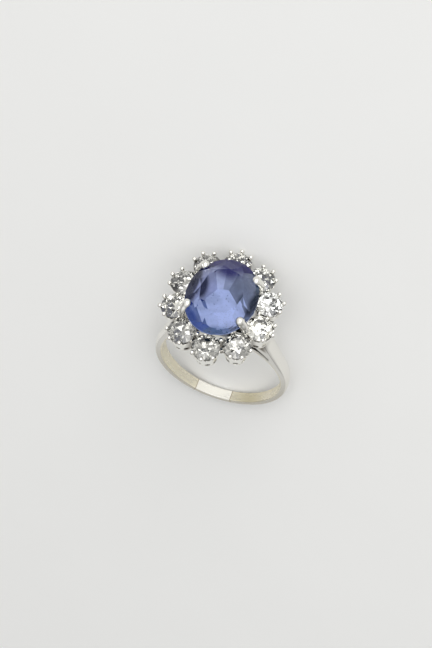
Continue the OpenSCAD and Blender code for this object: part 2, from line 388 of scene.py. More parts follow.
# %% [markdown]
# ## Skins over sections
#
# Almost every metal part of a ring is a section carried along a line: the hoop, the
# rails and the claws. A curve with a bevel could do it, but a skin over a row of sections
# leaves each section free to change, so one short helper makes them all. Normals are
# recalculated on each closed shell, so all faces point out.

# %% Make a mesh from a row of sections
MERGE = 1e-5


def new_object(name, bm):
    """An object from a bmesh, with doubles merged and faces pointing out."""
    bmesh.ops.remove_doubles(bm, verts=bm.verts, dist=MERGE)
    bmesh.ops.recalc_face_normals(bm, faces=bm.faces)
    mesh = bpy.data.meshes.new(name)
    bm.to_mesh(mesh)
    bm.free()
    obj = bpy.data.objects.new(name, mesh)
    bpy.context.scene.collection.objects.link(obj)
    return obj


def skin(bm, rings, looped=False):
    """Adds a closed skin over sections that all have the same number of points."""
    rows = [[bm.verts.new(p) for p in ring] for ring in rings]
    count = len(rows[0])
    for j in range(len(rows) if looped else len(rows) - 1):
        a, b = rows[j], rows[(j + 1) % len(rows)]
        for i in range(count):
            k = (i + 1) % count
            bm.faces.new((a[i], a[k], b[k], b[i]))
    if not looped:
        bm.faces.new(rows[0][::-1])
        bm.faces.new(rows[-1])


def smoothed(obj, angle=35):
    """Smooth shading, with creases kept where faces meet at more than the angle."""
    obj.data.shade_smooth()
    obj.data.set_sharp_from_angle(angle=math.radians(angle))


def triangles(obj):
    """How many triangles a mesh makes."""
    return sum(len(p.vertices) - 2 for p in obj.data.polygons)


bm = bmesh.new()
skin(bm, [[Vector((x, y, z)) for x, y in ((0, 0), (1, 0), (0, 1))] for z in (0, 1)])
print("a skin over two triangles has", len(bm.faces), "faces")
bm.free()

# %% [markdown]
# ## The hoop and its forked shoulders
#
# The hoop is flat inside and domed outside, and its shoulders leave the circle in a
# straight line towards the head. A swept section gives clean reflections, which is what
# polished metal shows first, so each section is worked out between a point on the inside
# and a point on the outside. Where the fork opens, the inside point jumps from the
# finger hole to the line above the slit.

# %% One section of the hoop
INNER_ROUND, OUTER_ROUND = 0.12, 0.2
FLAT_STEPS, INNER_STEPS, OUTER_STEPS, DOME_STEPS = 4, 5, 6, 9


def half_width(height):
    """Half the width of the hoop at a height."""
    share = (height - TAPER_FROM) / (TAPER_TO - TAPER_FROM)
    return FOOT_HALF + (SHOULDER_HALF - FOOT_HALF) * min(max(share, 0), 1)


def arc(middle, radius, start, end, steps):
    """Points of an arc as (across, out), angles in radians."""
    return [(middle[0] + radius * math.cos(start + (end - start) * i / steps),
             middle[1] + radius * math.sin(start + (end - start) * i / steps))
            for i in range(steps + 1)]


def outline(half, thick, dome_r, inner_round=INNER_ROUND, outer_round=OUTER_ROUND):
    """Half of the hoop's outline, from the middle inside to the middle outside."""
    reach = dome_r - outer_round
    top = math.sqrt(reach ** 2 - (half - outer_round) ** 2)
    meet = math.atan2(top, half - outer_round)
    points = [((half - inner_round) * i / FLAT_STEPS, 0) for i in range(FLAT_STEPS)]
    points += arc((half - inner_round, inner_round), inner_round, -math.pi / 2, 0,
                  INNER_STEPS)
    points += arc((half - outer_round, thick - dome_r + top), outer_round, 0, meet,
                  OUTER_STEPS)
    return points + arc((0, thick - dome_r), dome_r, meet, math.pi / 2, DOME_STEPS)[1:]


def section(inner, outer, dome_r=DOME_R, **rounds):
    """One section of the hoop, between two points (x, z) of its middle plane."""
    inner, outer = Vector(inner), Vector(outer)
    thick = (outer - inner).length
    out = (outer - inner) / thick
    half = half_width((inner.y + outer.y) / 2)
    side = outline(half, thick, dome_r, **rounds)
    both = side + [(-y, s) for y, s in side[-2:0:-1]]
    ring = []
    for y, s in both:
        spot = inner + out * s
        ring.append(Vector((spot.x, y * half_width(spot.y) / half, spot.y)))
    return ring


print("a section has", len(section((HOLE_R, 0), (HOLE_R + FOOT_T, 0))), "points")

# %% The outside of the hoop, and where two lines cross
def crown_point(angle):
    """The outside of the hoop in a direction from the middle of the finger hole."""
    reach = (DOME_SHIFT * math.sin(angle)
             + math.sqrt(CROWN_R ** 2 - (DOME_SHIFT * math.cos(angle)) ** 2))
    return Vector((math.cos(angle), math.sin(angle))) * reach


def crossing(start, way, a, b):
    """How far from start along way a line crosses the line from a to b, or None."""
    edge = b - a
    off = way.x * edge.y - way.y * edge.x
    if abs(off) < 1e-9:
        return None
    gap = a - start
    along_edge = (gap.x * way.y - gap.y * way.x) / off
    reach = (gap.x * edge.y - gap.y * edge.x) / off
    return reach if 0 <= along_edge <= 1 and reach > 0 else None


print("the foot reaches", round(-crown_point(-math.pi / 2).y, 2), "mm below the middle")

# %% The sections from the foot up the right side
SHOULDER_A = math.radians(22)
SHOULDER_TOP_H = 11.35
SLIT_W = 0.1
FORK_IN = HOLE_R + RAIL_T + SLIT_W
FORK_H = FORK_IN * math.sin(math.radians(FORK_A))
FORK_TOP_H = 8
SLIT_END = Vector((4.6, SHOULDER_TOP_H + 1))
HOOP_STEPS, SHOULDER_STEPS = 76, 90


def fork_line(height):
    """The inside of the shoulder, above the slit."""
    lean = math.radians(FORK_A)
    return Vector(((FORK_IN - height * math.sin(lean)) / math.cos(lean), height))


def shoulder_pair(outer, way):
    """The inside point of a shoulder's section, on the fork or else on the hole."""
    edge = [fork_line(FORK_H), fork_line(FORK_TOP_H), SLIT_END]
    for a, b in zip(edge, edge[1:]):
        reach = crossing(outer, way, a, b)
        if reach:
            return outer + way * reach
    middle = outer.dot(way)
    return outer + way * (-middle - math.sqrt(middle ** 2 - outer.length_squared
                                              + HOLE_R ** 2))


def hoop_pairs():
    """Inside and outside points, from the foot to the top of the right shoulder."""
    normal = Vector((math.cos(SHOULDER_A), math.sin(SHOULDER_A)))
    leave = normal * CROWN_R + Vector((0, DOME_SHIFT))
    last = math.atan2(leave.y, leave.x)
    pairs = []
    for i in range(HOOP_STEPS):
        angle = -math.pi / 2 + (last + math.pi / 2) * i / HOOP_STEPS
        pairs.append((Vector((math.cos(angle), math.sin(angle))) * HOLE_R,
                      crown_point(angle)))
    up = Vector((-normal.y, normal.x))
    length = (SHOULDER_TOP_H - leave.y) / up.y
    for i in range(SHOULDER_STEPS + 1):
        outer = leave + up * length * i / SHOULDER_STEPS
        pairs.append((shoulder_pair(outer, -normal), outer))
    return pairs


right_side = hoop_pairs()
print("the right side has", len(right_side), "sections")

# %% Mirror them for the left side, and skin the hoop
left_side = [(Vector((-a.x, a.y)), Vector((-b.x, b.y))) for a, b in right_side[:0:-1]]
bm = bmesh.new()
skin(bm, [section(a, b) for a, b in left_side + right_side])
hoop = new_object("hoop", bm)
smoothed(hoop)
print("hoop:", len(left_side + right_side), "sections,", triangles(hoop), "triangles")

# %% [markdown]
# ## The two rails under the head
#
# A plain flat rail closes the finger hole between the forks, and a round wire, the
# gallery rail, runs under the ten collets and ties them to the shoulders. Both could be
# bent tubes, but a section carried round a circle keeps their edges true. A second helper
# turns a profile round an axis, as a lathe does.

# %% The finger rail
RAIL_STEPS = 50
RAIL_DOME_R, RAIL_ROUND, RAIL_CLEAR = 30, 0.1, 0.01
bm = bmesh.new()
rings = []
for i in range(RAIL_STEPS + 1):
    angle = math.radians(FORK_A + (180 - 2 * FORK_A) * i / RAIL_STEPS)
    way = Vector((math.cos(angle), math.sin(angle)))
    rings.append(section(way * (HOLE_R + RAIL_CLEAR), way * (HOLE_R + RAIL_T),
                         dome_r=RAIL_DOME_R, inner_round=RAIL_ROUND,
                         outer_round=RAIL_ROUND))
skin(bm, rings)
finger_rail = new_object("finger_rail", bm)
smoothed(finger_rail)
print("finger rail:", triangles(finger_rail), "triangles")

# %% The gallery rail
GALLERY_R, GALLERY_WIRE_R, GALLERY_DROP = 4.95, 0.42, 2.75
GALLERY_H = CLUSTER_H - GALLERY_DROP
GALLERY_SIDES, GALLERY_STEPS = 24, 144


def turned(bm, profile, steps=64, matrix=Matrix()):
    """Adds a profile of (radius, height) points turned round the Z axis."""
    rings = []
    for s in range(steps):
        a = 2 * math.pi * s / steps
        rings.append([matrix @ Vector((r * math.cos(a), r * math.sin(a), z))
                      for r, z in profile])
    skin(bm, rings, looped=True)


bm = bmesh.new()
turned(bm, arc((GALLERY_R, GALLERY_H), GALLERY_WIRE_R, 0,
               2 * math.pi * (GALLERY_SIDES - 1) / GALLERY_SIDES, GALLERY_SIDES - 1),
       steps=GALLERY_STEPS)
gallery_rail = new_object("gallery_rail", bm)
smoothed(gallery_rail)
print("gallery rail:", triangles(gallery_rail), "triangles")

# %% [markdown]
# ## Wires, balls and cuts
#
# The head is made of tubes and wires that are filed and soldered. A wire's section is
# carried along its path without a twist, a melted end is a ball, and a file or a drill is
# a Boolean modifier with a cutter. The exact solver leaves clean edges, and each cutter is
# deleted once it has done its work.

# %% Helpers for wires and balls
def circle_points(middle, side, up, radius, count):
    """Points of a circle whose plane holds the directions side and up."""
    return [middle + radius * (math.cos(2 * math.pi * i / count) * side
                               + math.sin(2 * math.pi * i / count) * up)
            for i in range(count)]


def wire(bm, path, radii, sides=20):
    """Adds a round wire along a path; its section is carried along without a twist."""
    rings = []
    side = None
    for i, p in enumerate(path):
        ahead = path[min(i + 1, len(path) - 1)] - path[max(i - 1, 0)]
        ahead.normalize()
        side = side or ahead.orthogonal()
        side = (side - side.dot(ahead) * ahead).normalized()
        rings.append(circle_points(p, side, ahead.cross(side), radii[i], sides))
    skin(bm, rings)


def bead(bm, middle, radius):
    """Adds a ball."""
    bmesh.ops.create_icosphere(bm, subdivisions=4, radius=radius,
                               matrix=Matrix.Translation(middle))


bm = bmesh.new()
bead(bm, Vector(), 1)
print("a ball has", len(bm.faces), "faces")
bm.free()

# %% Helpers that cut and melt
def applied(obj):
    """Puts the result of an object's modifiers into its mesh and removes them."""
    graph = bpy.context.evaluated_depsgraph_get()
    graph.update()
    mesh = bpy.data.meshes.new_from_object(obj.evaluated_get(graph))
    obj.modifiers.clear()
    old, obj.data = obj.data, mesh
    bpy.data.meshes.remove(old)
    return obj


def cut_away(obj, cutter):
    """Takes the cutter's solid out of the object, and the cutter out of the scene."""
    cut = obj.modifiers.new("cut", "BOOLEAN")
    cut.operation = "DIFFERENCE"
    cut.solver = "EXACT"
    cut.object = cutter
    applied(obj)
    bpy.data.objects.remove(cutter)


def melted(obj, voxel, rounds, keep):
    """Melts overlapping parts into one skin, relaxes it and thins its triangles."""
    melt = obj.modifiers.new("melt", "REMESH")
    melt.mode = "VOXEL"
    melt.voxel_size = voxel
    relax = obj.modifiers.new("relax", "SMOOTH")
    relax.iterations = rounds
    applied(obj)
    thin = obj.modifiers.new("thin", "DECIMATE")
    thin.ratio = keep
    return applied(obj)


print("the cuts use the exact solver")

# %% [markdown]
# ## One coronet collet
#
# A coronet collet is a short tapered tube. Scallops filed into its rim leave points that
# hold the stone, and small holes below let light in. So it is cut the same way here: a
# turned tube, eight holes low down, eight scallops at the rim, then four wire claws with
# round beads. The innermost claw is shorter, to stay clear of the sapphire above it. A
# voxel remesh melts the parts together with the soft edges that years of polishing give,
# and a last cut takes out the room of the diamond.

# %% Turn the tube and drill it
COLLET_DEPTH, COLLET_RIM_H = 2.85, -0.1
COLLET_TOP_R, COLLET_BASE_R = 1.86, 1.34
BORE_TOP_R, BORE_BASE_R = 1.62, 0.95
WINDOW_R, WINDOW_H = 0.33, -2.15
SCALLOP_R, SCALLOP_H = 0.42, -0.05
TUBE_STEPS, DRILL_SIDES, DRILL_REACH = 96, 32, 3

bm = bmesh.new()
turned(bm, [(BORE_BASE_R, -COLLET_DEPTH), (COLLET_BASE_R, -COLLET_DEPTH),
            (COLLET_TOP_R, COLLET_RIM_H), (BORE_TOP_R, COLLET_RIM_H)],
       steps=TUBE_STEPS)
collet = new_object("collet", bm)
# each drill goes right through, so four turns make eight holes
for i in range(4):
    turn = Matrix.Rotation(math.radians(22.5 + 45 * i), 4, "Z")
    for radius, height in ((WINDOW_R, WINDOW_H), (SCALLOP_R, SCALLOP_H)):
        ends = [turn @ Vector((0, y, height)) for y in (-DRILL_REACH, DRILL_REACH)]
        drill = bmesh.new()
        wire(drill, ends, (radius, radius), sides=DRILL_SIDES)
        cut_away(collet, new_object("drill", drill))
print("the drilled tube:", triangles(collet), "triangles")

# %% The room of a diamond
STONE_GAP = 0.04
GIRDLE_T = 0.06
CROWN_SHARE, TABLE_SHARE, PAVILION_SHARE = 0.31, 0.56, 0.86
ROOM_BELOW, ROOM_ABOVE, ROOM_TABLE = 0.3, 0.16, 0.62


def room_profile(radius):
    """The profile of the space that a diamond takes in its setting."""
    r = radius + STONE_GAP
    top = GIRDLE_T / 2 + STONE_GAP
    crown = CROWN_SHARE * radius + ROOM_ABOVE
    return [(0, -PAVILION_SHARE * radius - ROOM_BELOW), (r, -top), (r, top),
            (ROOM_TABLE * r, crown), (0, crown)]


print("the room of a diamond is", round(2 * (DIAMOND_R + STONE_GAP), 2), "mm across")

# %% Solder the claws on and melt it all together
BEAD_R, BEAD_H, BEAD_RING_R = 0.3, 0.34, 1.9
INNER_BEAD_H = 0.06
CLAW_WIRE_R = 0.19
CLAW_ROOT_R, CLAW_ROOT_H = 1.62, -1.1
OWN_CLAWS = (-45, 0, 45, 180)
VOXEL = 0.035
COLLET_ROUNDS, COLLET_KEEP = 5, 0.14

bm = bmesh.new()
bm.from_mesh(collet.data)
for degrees in OWN_CLAWS:
    turn = Matrix.Rotation(math.radians(degrees), 4, "Z")
    height = INNER_BEAD_H if degrees == 180 else BEAD_H
    root = turn @ Vector((CLAW_ROOT_R, 0, CLAW_ROOT_H))
    tip = turn @ Vector((BEAD_RING_R, 0, height))
    wire(bm, [root, tip], (CLAW_WIRE_R, CLAW_WIRE_R))
    bead(bm, tip, BEAD_R)
bm.to_mesh(collet.data)
bm.free()
melted(collet, VOXEL, COLLET_ROUNDS, COLLET_KEEP)
bm = bmesh.new()
turned(bm, room_profile(DIAMOND_R))
cut_away(collet, new_object("room", bm))
print("one collet:", triangles(collet), "triangles")

# %% [markdown]
# ## Ten places round the head, by Geometry Nodes
#
# What repeats is placed by a rule, not by hand. The tree makes one point for each place
# on the oval, turns a copy of the given item, and makes the copies real. One tree stands
# the item on the places, for the collets, and the other between them, for what neighbours
# share. The sizes are named inputs, so a larger oval needs no new tree.

# %% Where a tree puts its points
def oval_point(tree, given, index):
    """The point of the oval at a place, as a vector field."""
    wobble = maths(tree, "SINE", maths(tree, "MULTIPLY", index, math.radians(2 * STEP)))
    turn = maths(tree, "ADD", maths(tree, "MULTIPLY", index, math.radians(STEP)),
                 maths(tree, "MULTIPLY", wobble, math.radians(EVENING)))
    x = maths(tree, "MULTIPLY", maths(tree, "SINE", turn), given["Half Width"])
    y = maths(tree, "MULTIPLY", maths(tree, "COSINE", turn),
              maths(tree, "MULTIPLY", given["Half Length"], -1))
    return add_node(tree, "ShaderNodeCombineXYZ",
                    {0: x, 1: y, 2: given["Height"]}).outputs[0]


def on_places(tree, given, index):
    """The places themselves, each turned outward and leaned."""
    outward = maths(tree, "SUBTRACT", maths(tree, "MULTIPLY", index,
                                            math.radians(STEP)), math.pi / 2)
    angles = add_node(tree, "ShaderNodeCombineXYZ",
                      {1: given["Lean"], 2: outward}).outputs[0]
    facing = add_node(tree, "FunctionNodeEulerToRotation", {0: angles}).outputs[0]
    return oval_point(tree, given, index), facing


def between_places(tree, given, index):
    """Halfway to the next place, turned along the line between the two."""
    here = oval_point(tree, given, index)
    there = oval_point(tree, given, maths(tree, "ADD", index, 1))
    half = add_node(tree, "ShaderNodeVectorMath", {
        0: vector_maths(tree, "ADD", here, there), "Scale": 0.5}, operation="SCALE")
    facing = add_node(tree, "FunctionNodeAlignRotationToVector", {
        "Vector": vector_maths(tree, "SUBTRACT", there, here)}, axis="Y", pivot_axis="Z")
    return half.outputs[0], facing.outputs[0]


print("the step from place to place is", STEP, "degrees")

# %% Build the two trees
def places_tree(name, layout):
    """A tree that sets copies of an item where a layout says."""
    tree = bpy.data.node_groups.new(name, "GeometryNodeTree")
    tree.interface.new_socket("Geometry", in_out="OUTPUT",
                              socket_type="NodeSocketGeometry")
    for label, kind in (("Count", "Int"), ("Half Width", "Float"),
                        ("Half Length", "Float"), ("Height", "Float"),
                        ("Lean", "Float"), ("Item", "Object"), ("Metal", "Material")):
        tree.interface.new_socket(label, in_out="INPUT", socket_type="NodeSocket" + kind)
    given = tree.nodes.new("NodeGroupInput").outputs
    index = tree.nodes.new("GeometryNodeInputIndex").outputs[0]
    spot, facing = layout(tree, given, index)
    points = add_node(tree, "GeometryNodePoints",
                      {"Count": given["Count"], "Position": spot}).outputs[0]
    item = add_node(tree, "GeometryNodeObjectInfo", {"Object": given["Item"]})
    copies = add_node(tree, "GeometryNodeInstanceOnPoints", {
        "Points": points, "Instance": item.outputs["Geometry"], "Rotation": facing})
    real = add_node(tree, "GeometryNodeRealizeInstances", {0: copies.outputs[0]})
    metal = add_node(tree, "GeometryNodeSetMaterial",
                     {"Geometry": real.outputs[0], "Material": given["Metal"]})
    result = tree.nodes.new("NodeGroupOutput")
    tree.links.new(metal.outputs[0], result.inputs[0])
    return tree


COLLET_TREE = places_tree("collets round the head", on_places)
BETWEEN_TREE = places_tree("between the collets", between_places)
print("the trees have", len(COLLET_TREE.nodes), "and", len(BETWEEN_TREE.nodes), "nodes")

# %% Set the ten collets
MELTED_CREASE = 50


def set_round(name, tree, item, **sizes):
    """Runs a tree on a new object and keeps the result as a plain mesh."""
    mesh = bpy.data.meshes.new(name)
    obj = bpy.data.objects.new(name, mesh)
    bpy.context.scene.collection.objects.link(obj)
    run = obj.modifiers.new(name, "NODES")
    run.node_group = tree
    inputs = {s.name: s.identifier for s in tree.interface.items_tree
              if s.in_out == "INPUT"}
    values = {"Count": DIAMONDS, "Half Width": CLUSTER_RX, "Half Length": CLUSTER_RY,
              "Height": CLUSTER_H, "Lean": math.radians(COLLET_LEAN), "Item": item,
              "Metal": GOLD, **sizes}
    for label, value in values.items():
        run[inputs[label]] = value
    applied(obj)
    return obj


collets = set_round("coronet_collets", COLLET_TREE, collet)
bpy.data.objects.remove(collet)
smoothed(collets, MELTED_CREASE)
print("ten collets:", triangles(collets), "triangles")

# %% [markdown]
# ## What neighbours share
#
# On the inner side, one claw with a round bead holds two diamonds at once. On the outer
# side a drop of solder joins the collets below their girdles. Ten of them could be melted
# one by one, but melting one and copying it with the second tree is quicker and keeps them
# alike. The rooms of the diamonds are cut last, every second one at a time, so that no
# two cutters touch.

# %% The shared claws and the solder
SHARED_R, SHARED_IN, SHARED_ROOT = 0.27, 0.7, -0.8
SOLDER_OUT, SOLDER_TOP = 0.3, -0.2
SHARED_SIDES, SHARED_ROUNDS, SHARED_KEEP = 24, 4, 0.3
bm = bmesh.new()
inner = Vector((-SHARED_IN, 0, BEAD_H))
foot = Vector((-SHARED_IN, 0, SHARED_ROOT))
wire(bm, [foot, inner], (SHARED_R, SHARED_R), sides=SHARED_SIDES)
bead(bm, inner, BEAD_R)
wire(bm, [Vector((SOLDER_OUT, 0, SHARED_ROOT)), Vector((SOLDER_OUT, 0, SOLDER_TOP))],
     (SHARED_R, SHARED_R), sides=SHARED_SIDES)
shared = new_object("shared", bm)
melted(shared, VOXEL, SHARED_ROUNDS, SHARED_KEEP)
shared_claws = set_round("shared_claws", BETWEEN_TREE, shared)
bpy.data.objects.remove(shared)
print("shared claws before their cuts:", triangles(shared_claws), "triangles")

# %% Cut the rooms of the diamonds
def diamond_rooms(places):
    """The space of the diamonds at some places, as one object of separate solids."""
    bm = bmesh.new()
    for place in places:
        turned(bm, room_profile(DIAMOND_R), matrix=at_place(place))
    return new_object("rooms", bm)


cut_away(shared_claws, diamond_rooms(range(0, DIAMONDS, 2)))
cut_away(shared_claws, diamond_rooms(range(1, DIAMONDS, 2)))
smoothed(shared_claws, MELTED_CREASE)
print("shared claws:", triangles(shared_claws), "triangles")

# %% [markdown]
# ## The four centre claws
#
# Each claw is one thick wire. It rises between two collets, bends over the sapphire's
# edge and ends in a ball that was melted on the wire. The radius is given by the distance
# from the tip, so ball, neck and wire are one smooth skin. The tips were bent by hand and
# so are not quite even; their places come from the photograph.

# %% The path and the thickness of a claw
CLAW_R, CLAW_TIP_R, CLAW_END_R = 0.47, 0.61, 0.004
CLAW_FOOT = (3.6, 2.8, GALLERY_H - 0.1)
CLAW_KNEE = (4.2, 3.38, CENTRE_H - 0.3)
KNEE_BEND, KNEE_SHARE = 0.7, 0.6
SHANK_STEPS, KNEE_STEPS, BALL_STEPS = 14, 12, 40
NECK_SWELL, NECK_SHARPNESS = 0.08, 6


def claw_path(tip):
    """Points from the foot of a claw over its knee to the end of its ball."""
    side = Vector((math.copysign(1, tip.x), math.copysign(1, tip.y), 1))
    foot, knee = Vector(CLAW_FOOT) * side, Vector(CLAW_KNEE) * side
    before = knee + (foot - knee).normalized() * KNEE_BEND
    after = knee + (tip - knee).normalized() * min(KNEE_BEND,
                                                   (tip - knee).length * KNEE_SHARE)
    path = [foot.lerp(before, i / SHANK_STEPS) for i in range(SHANK_STEPS)]
    for i in range(KNEE_STEPS):
        t = i / KNEE_STEPS
        path.append(before * (1 - t) ** 2 + knee * 2 * t * (1 - t) + after * t ** 2)
    end = tip + (tip - knee).normalized() * CLAW_TIP_R
    for i in range(BALL_STEPS + 1):
        t = math.sin(math.pi / 2 * i / BALL_STEPS)
        path.append(after + (end - after) * t)
    return path


def claw_radius(ahead):
    """The radius of a claw, from how far it still is to the middle of its ball."""
    ball = math.sqrt(max(CLAW_TIP_R ** 2 - ahead ** 2, 0)) if ahead < CLAW_TIP_R else 0
    neck = CLAW_R + NECK_SWELL * math.exp(-ahead ** 2)
    if ahead <= 0:
        return max(ball, CLAW_END_R)
    if not ball:
        return neck
    return (ball ** NECK_SHARPNESS + neck ** NECK_SHARPNESS) ** (1 / NECK_SHARPNESS)


print("a claw is", 2 * CLAW_R, "mm thick and its ball", 2 * CLAW_TIP_R, "mm")

# %% The room of the sapphire
# share of its half length, height above its girdle
SAPPHIRE_ROOM = ((0, -4.0), (0.52, -2.78), (0.84, -1.15), (1, -0.12), (1, 0.12),
                 (0.83, 0.82), (0.6, 1.44), (0, 1.44))


def centre_room():
    """The space of the sapphire: a profile turned, then narrowed to an oval."""
    r = SAPPHIRE_HALF_L + STONE_GAP
    profile = [(share * r, height) for share, height in SAPPHIRE_ROOM]
    narrow = Matrix.Diagonal(((SAPPHIRE_HALF_W + STONE_GAP) / r, 1, 1, 1))
    bm = bmesh.new()
    turned(bm, profile, TUBE_STEPS, Matrix.Translation((0, 0, CENTRE_H)) @ narrow)
    return new_object("room", bm)


print("the room of the sapphire is", 2 * (SAPPHIRE_HALF_L + STONE_GAP), "mm long")

# %% Bend and ball the four claws
CLAW_TIP_H = CENTRE_H + 0.45
CLAW_SIDES, CLAW_CREASE = 28, 40
# across, along, and the place of the diamond before the claw
CLAW_TIPS = ((3.32, -3.1, 1), (3.49, 3.25, 3), (-3.37, 3.64, 6), (-3.74, -2.53, 8))

claws = []
for number, (x, y, before) in enumerate(CLAW_TIPS, 1):
    path = claw_path(Vector((x, y, CLAW_TIP_H)))
    lengths = [0]
    for a, b in zip(path, path[1:]):
        lengths.append(lengths[-1] + (b - a).length)
    ball_at = lengths[-1] - CLAW_TIP_R
    bm = bmesh.new()
    wire(bm, path, [claw_radius(ball_at - length) for length in lengths], CLAW_SIDES)
    claw = new_object(f"centre_claw_{number}", bm)
    cut_away(claw, centre_room())
    cut_away(claw, diamond_rooms((before,)))
    cut_away(claw, diamond_rooms((before + 1,)))
    smoothed(claw, CLAW_CREASE)
    claws.append(claw)
print("centre claws:", sum(triangles(c) for c in claws), "triangles")

# %% [markdown]
# ## Lying down
#
# All metal is drawn upright, so it is now laid on the floor by the one matrix, and each
# piece is attached to the ring's root while the CAD mount is hidden. The matrix goes into
# the mesh and not onto the object, because a finish on Object coordinates has to find the
# piece in its place.

# %% Lay the metal down and give it its finish
def laid(obj):
    """Lays an upright piece, drawn in millimetres, on the floor."""
    obj.data.transform(LAY)
    return obj


metal = [hoop, finger_rail, gallery_rail, collets, shared_claws, *claws]
for piece in metal:
    laid(piece)
    piece.data.materials.clear()
    piece.data.materials.append(GOLD)
    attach(piece, "root")
    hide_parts("mount")
print("the metal:", len(metal), "pieces,", sum(triangles(p) for p in metal), "triangles")

# %% [markdown]
# ## Cutting stones
#
# A cutter grinds one flat after another, and the stone is what is left. The same works
# here: a round blank, and for each facet one plane that slices it. A facet is given by
# its direction round the stone, the point it goes through and its slope, so a table of a
# few rows is a whole brilliant. Facets stay flat shaded, because a stone's edges are crisp.

# %% Slice a blank with planes
BLANK_SIDES = 96
SAME_FACET = math.radians(0.3)


def facet_plane(turn, reach, height, slope):
    """A point and the outward direction of a facet, for one direction round the stone."""
    lean = math.radians(abs(slope))
    up = math.copysign(math.cos(lean), slope)
    normal = Vector((math.sin(lean) * math.cos(turn), math.sin(lean) * math.sin(turn), up))
    return Vector((reach * math.cos(turn), reach * math.sin(turn), height)), normal


def ground(name, radius, top, bottom, rows, matrix):
    """Grinds facets on a round blank. Rows: count, first turn, radius, height, slope."""
    bm = bmesh.new()
    skin(bm, [[Vector((radius * math.cos(2 * math.pi * i / BLANK_SIDES),
                       radius * math.sin(2 * math.pi * i / BLANK_SIDES), z))
               for i in range(BLANK_SIDES)] for z in (bottom, top)])
    for count, first, reach, height, slope in rows:
        for i in range(count):
            point, normal = facet_plane(math.radians(first + 360 * i / count), reach,
                                        height, slope)
            cut = bmesh.ops.bisect_plane(
                bm, geom=bm.verts[:] + bm.edges[:] + bm.faces[:], dist=MERGE,
                plane_co=point, plane_no=normal, clear_outer=True)
            rim = [g for g in cut["geom_cut"] if isinstance(g, bmesh.types.BMEdge)]
            if len(rim) > 2:
                bmesh.ops.edgeloop_fill(bm, edges=rim)
    bmesh.ops.dissolve_limit(bm, angle_limit=SAME_FACET, verts=bm.verts, edges=bm.edges)
    bm.transform(matrix)
    return laid(new_object(name, bm))


print("a blank has", BLANK_SIDES, "sides before it is ground")

# %% The facets of a brilliant
STAR_SLOPE, BREAK_SLOPE, LOWER_SLOPE = 0.64, 1.17, 1.035


def brilliant_rows(r):
    """The facets of a round brilliant, crown first."""
    edge = GIRDLE_T / 2
    table_r = TABLE_SHARE * r
    top = edge + CROWN_SHARE * r
    crown = math.degrees(math.atan2(top - edge, r - table_r))
    pavilion = math.degrees(math.atan(PAVILION_SHARE))
    return [
        (8, 0, r, edge, crown),
        (8, 22.5, table_r * math.cos(math.radians(22.5)), top, crown * STAR_SLOPE),
        (8, 11.25, r, edge, crown * BREAK_SLOPE),
        (8, 33.75, r, edge, crown * BREAK_SLOPE),
        (8, 0, r, -edge, -pavilion),
        (8, 11.25, r, -edge, -pavilion * LOWER_SLOPE),
        (8, 33.75, r, -edge, -pavilion * LOWER_SLOPE),
    ]


print("a brilliant has", sum(row[0] for row in brilliant_rows(DIAMOND_R)), "ground facets")

# %% [markdown]
# ## Diamond and sapphire as glass
#
# A stone's life is refraction: light goes in through the crown, turns round at the
# pavilion and comes back out. Paint could never do it, but a glass shader with the stone's
# own refractive index does all of it. The sapphire's glass also takes a little red and
# green out of the light on its way, and its mirror is kept dim and bluish, as on a face
# that is no longer fresh. Shadow rays pass straight through, because real stones throw
# light, not black shadows, into their settings.

# %% Two glasses
DIAMOND_INDEX, SAPPHIRE_INDEX = 2.417, 1.77
FACE_SCALE, FACE_DIM = 500, 0.97


def jewel(name, index, tint, mirror=(1, 1, 1, 1), depth_colour=None, density=0.0):
    """Glass of a refractive index, toned by each facet's own colour attribute."""
    made, tree, shader, out = new_material(name)
    cloud = noise(tree, upright_place(tree), FACE_SCALE, 2)
    dim = tuple(FACE_DIM * c for c in tint[:3]) + (1,)
    tone = add_node(tree, "ShaderNodeVertexColor", layer_name="tone").outputs[0]
    colour = add_node(tree, "ShaderNodeMix", {
        0: 1.0, 6: blend_colour(tree, cloud, tint, dim), 7: tone}, data_type="RGBA",
        blend_type="MULTIPLY").outputs[2]
    tree.links.new(colour, shader.inputs["Base Color"])
    shader.inputs["Specular Tint"].default_value = mirror
    shader.inputs["Transmission Weight"].default_value = 1.0
    shader.inputs["Roughness"].default_value = 0.0
    shader.inputs["IOR"].default_value = index
    clear = add_node(tree, "ShaderNodeBsdfTransparent", {0: tint})
    path = add_node(tree, "ShaderNodeLightPath")
    both = add_node(tree, "ShaderNodeMixShader", {
        0: path.outputs["Is Shadow Ray"], 1: shader.outputs[0], 2: clear.outputs[0]})
    tree.links.new(both.outputs[0], out.inputs["Surface"])
    if depth_colour:
        inside = add_node(tree, "ShaderNodeVolumeAbsorption",
                          {"Color": depth_colour, "Density": density})
        tree.links.new(inside.outputs[0], out.inputs["Volume"])
    return made


DIAMOND = jewel("diamond", DIAMOND_INDEX, (0.985, 0.985, 0.975, 1))
SAPPHIRE = jewel("sapphire", SAPPHIRE_INDEX, (0.96, 0.97, 1.0, 1),
                 mirror=(0.13, 0.15, 0.24, 1), depth_colour=(0.40, 0.55, 0.92, 1),
                 density=70)
print("refractive indices: diamond", DIAMOND_INDEX, "and sapphire", SAPPHIRE_INDEX)

# %% [markdown]
# ## Ten diamonds, no two alike
#
# Each stone was dropped into its collet as it came, so each has a turn of its own, and
# old stones differ a little in how grey they are. Each stone's tone also carries painted
# shade and painted light, darker or brighter as the stone looks in its place. A tone for
# each stone is kept in its mesh as a colour attribute, so that all ten can share one
# material.

# %% Grind the ten diamonds
TURNS = (4, 17, 33, 8, 26, 41, 12, 30, 21, 38)
